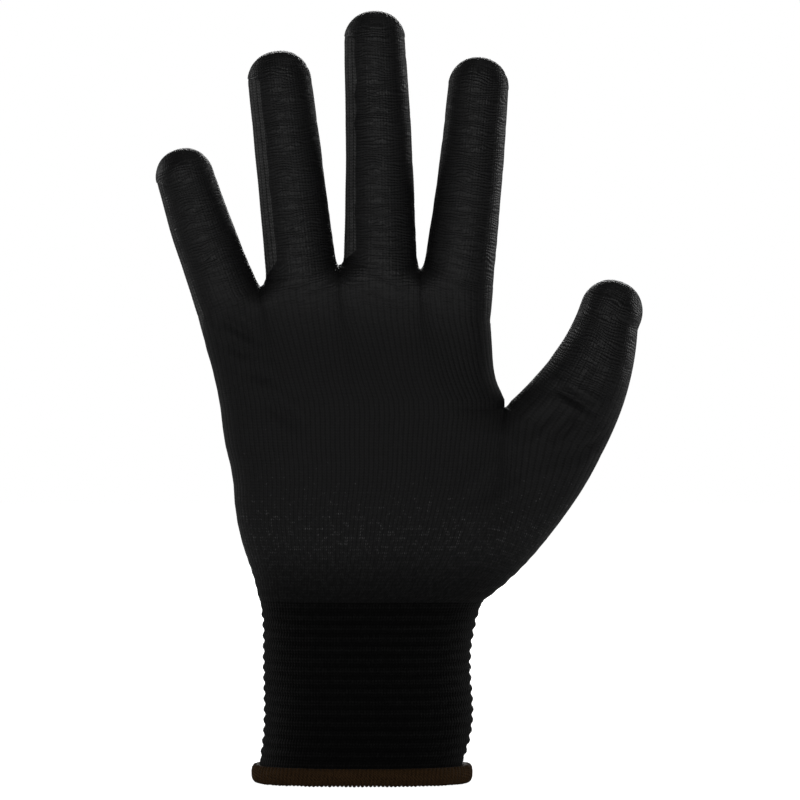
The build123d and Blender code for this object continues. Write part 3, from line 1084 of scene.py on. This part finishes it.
bindMiddle = (hem["out"] - knit["wall"] - hem["inside"]) / 2
bindHalf = (hem["out"] + knit["wall"] + hem["inside"]) / 2 - hem["thread"]
turns = np.linspace(0, 2 * math.pi, hem["sides"] + 1)[:-1]
core = [rounded(a, bindMiddle, bindHalf, hem["thread"], hem["height"] - hem["thread"] * 1.6) for a in turns]
band = loopPiece("hem_core", core, 240, hem["shift"], "overlockThread")
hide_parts("hem_overlock")


def wrapPiece():
    # one wrap of thread in the plane across the edge
    sides = hem["wrapSides"]
    rows = []
    for k, a in enumerate(np.linspace(*hem["wrapEnds"], hem["wrapRings"])):
        out, z = rounded(a, bindMiddle, bindHalf, hem["thread"], hem["height"] - hem["thread"] * 1.3)
        size = hem["thread"] * (0.0 if k in (0, hem["wrapRings"] - 1) else 1.0)
        radial = Vector((math.cos(a), 0, math.sin(a)))
        side = hem["lean"] * math.sin(a)
        ring = []
        for b in np.linspace(0, 2 * math.pi, sides + 1):
            offset = radial * (math.cos(b) * size) + Vector((0, 1, 0)) * (math.sin(b) * size * 1.25)
            ring.append((out + offset.x, side + offset.y, z + offset.z))
        rows.append(ring)
    around, along = np.meshgrid(np.linspace(0, 2, sides + 1), np.linspace(0, 18, len(rows)))
    return gridOver("hem_wrap", np.array(rows), around, along)


def wrapsRound(model):
    # the wrap copied round the mouth, each copy with its own mesh, all joined
    path, length = mouthLoop(0, 720)
    count = int(round(length / hem["wrapPitch"]))
    rng = np.random.default_rng(17)
    copies = []
    for k in range(count):
        at = k / count * 720
        low = int(at)
        point = path[low] + (path[(low + 1) % 720] - path[low]) * (at - low)
        tangent = path[(low + 2) % 720] - path[low - 1]
        turn = math.atan2(tangent[1], tangent[0]) - math.pi / 2
        copy = model.copy()
        copy.data = model.data.copy()
        bpy.context.collection.objects.link(copy)
        place = Matrix.Translation((point[0] + hem["shift"], point[1], rng.uniform(-0.08, 0.08) * mm))
        copy.data.transform(place @ Matrix.Rotation(turn + rng.uniform(-0.03, 0.03), 4, "Z"))
        for corner in copy.data.uv_layers["stitches"].data:
            corner.uv[0] += 3.0 * k
        copies.append(copy)
    bpy.data.objects.remove(model)
    bpy.ops.object.select_all(action="DESELECT")
    for copy in copies:
        copy.select_set(True)
    bpy.context.view_layer.objects.active = copies[0]
    bpy.ops.object.join()
    return bpy.context.object


wraps = wrapsRound(wrapPiece())
wraps.name = wraps.data.name = "hem_wraps"
finishSheet(wraps, "overlockThread")

for k in range(elastic["count"]):
    z = elastic["first"] + k * elastic["pitch"]
    ring = [(-elastic["depth"] + elastic["radius"] * math.cos(a), z + elastic["radius"] * math.sin(a))
            for a in np.linspace(0, 2 * math.pi, 9)[:-1]]
    thread = loopPiece(f"elastic_thread_{k + 1:02d}", ring, 96, 0, "elasticThread")
    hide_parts("cuff_elastic")
print("mouth bound, elastic laid in")

studio = {
    "floorSize": 8.0,
    "pale": (0.9, 0.9, 0.9),
    "glow": 1.0,  # evens out the white of the floor, seen by the camera alone
    "fill": 0.030,  # soft light from all round
    "aim": (0.011, 0, 0.125),
    "lights": {
        # place, width and height, power
        "frontLight": ((-0.05, -1.7, 0.40), (0.4, 0.6), 4.4),
        "backLight": ((0.10, 1.7, 0.85), (0.9, 0.6), 11.0),
        "leftLight": ((-1.1, -0.25, 0.5), (0.5, 0.5), 0.3),
        "leftBackLight": ((-1.6, 1.1, 0.7), (0.6, 0.6), 4.5),
        "rightBackLight": ((1.7, 1.2, 0.7), (0.6, 0.6), 6.0),
        "topLight": ((0.3, 0.1, 2.0), (1.0, 1.0), 1.5),
    },
}


def seenByCamera(tree):
    return tree.nodes.new("ShaderNodeLightPath").outputs["Is Camera Ray"]


def makeFloor():
    bpy.ops.mesh.primitive_plane_add(size=studio["floorSize"], location=(0, 0, -0.0002))
    floor = bpy.context.object
    floor.name = "studioFloor"
    material = bpy.data.materials.new("studioPale")
    material.use_nodes = True
    tree = material.node_tree
    shader = tree.nodes["Principled BSDF"]
    shader.inputs["Base Color"].default_value = (*studio["pale"], 1)
    shader.inputs["Roughness"].default_value = 0.9
    shader.inputs["Specular IOR Level"].default_value = 0.1
    shader.inputs["Emission Color"].default_value = (1, 1, 1, 1)
    glow = times(tree, seenByCamera(tree), studio["glow"])
    tree.links.new(glow, shader.inputs["Emission Strength"])
    floor.data.materials.append(material)


def makeSurround():
    # white behind the object for the camera, and a weak even light for everything else
    world = bpy.data.worlds.new("studioWorld")
    bpy.context.scene.world = world
    world.use_nodes = True
    tree = world.node_tree
    background = tree.nodes["Background"]
    background.inputs["Color"].default_value = (1, 1, 1, 1)
    strength = scaled(tree, seenByCamera(tree), 1 - studio["fill"], studio["fill"])
    tree.links.new(strength, background.inputs["Strength"])
    bpy.context.scene.view_settings.view_transform = "Standard"


def areaLight(name, place, size, power):
    bpy.ops.object.light_add(type="AREA", location=place)
    light = bpy.context.object
    light.name = name
    light.data.shape = "RECTANGLE"
    light.data.size, light.data.size_y = size
    light.data.energy = power
    toward = Vector(studio["aim"]) - Vector(place)
    light.rotation_euler = toward.to_track_quat("-Z", "Y").to_euler()


makeFloor()
makeSurround()
for name, (place, size, power) in studio["lights"].items():
    areaLight(name, place, size, power)

view = {"x": 0.01097, "z": 0.1240, "away": 1.5, "lens": 208}
bpy.ops.object.camera_add(location=(view["x"], -view["away"], view["z"]), rotation=(math.pi / 2, 0, 0))
camera = bpy.context.object
camera.data.lens = view["lens"]
camera.data.sensor_width = 36
bpy.context.scene.camera = camera
print("studio set")
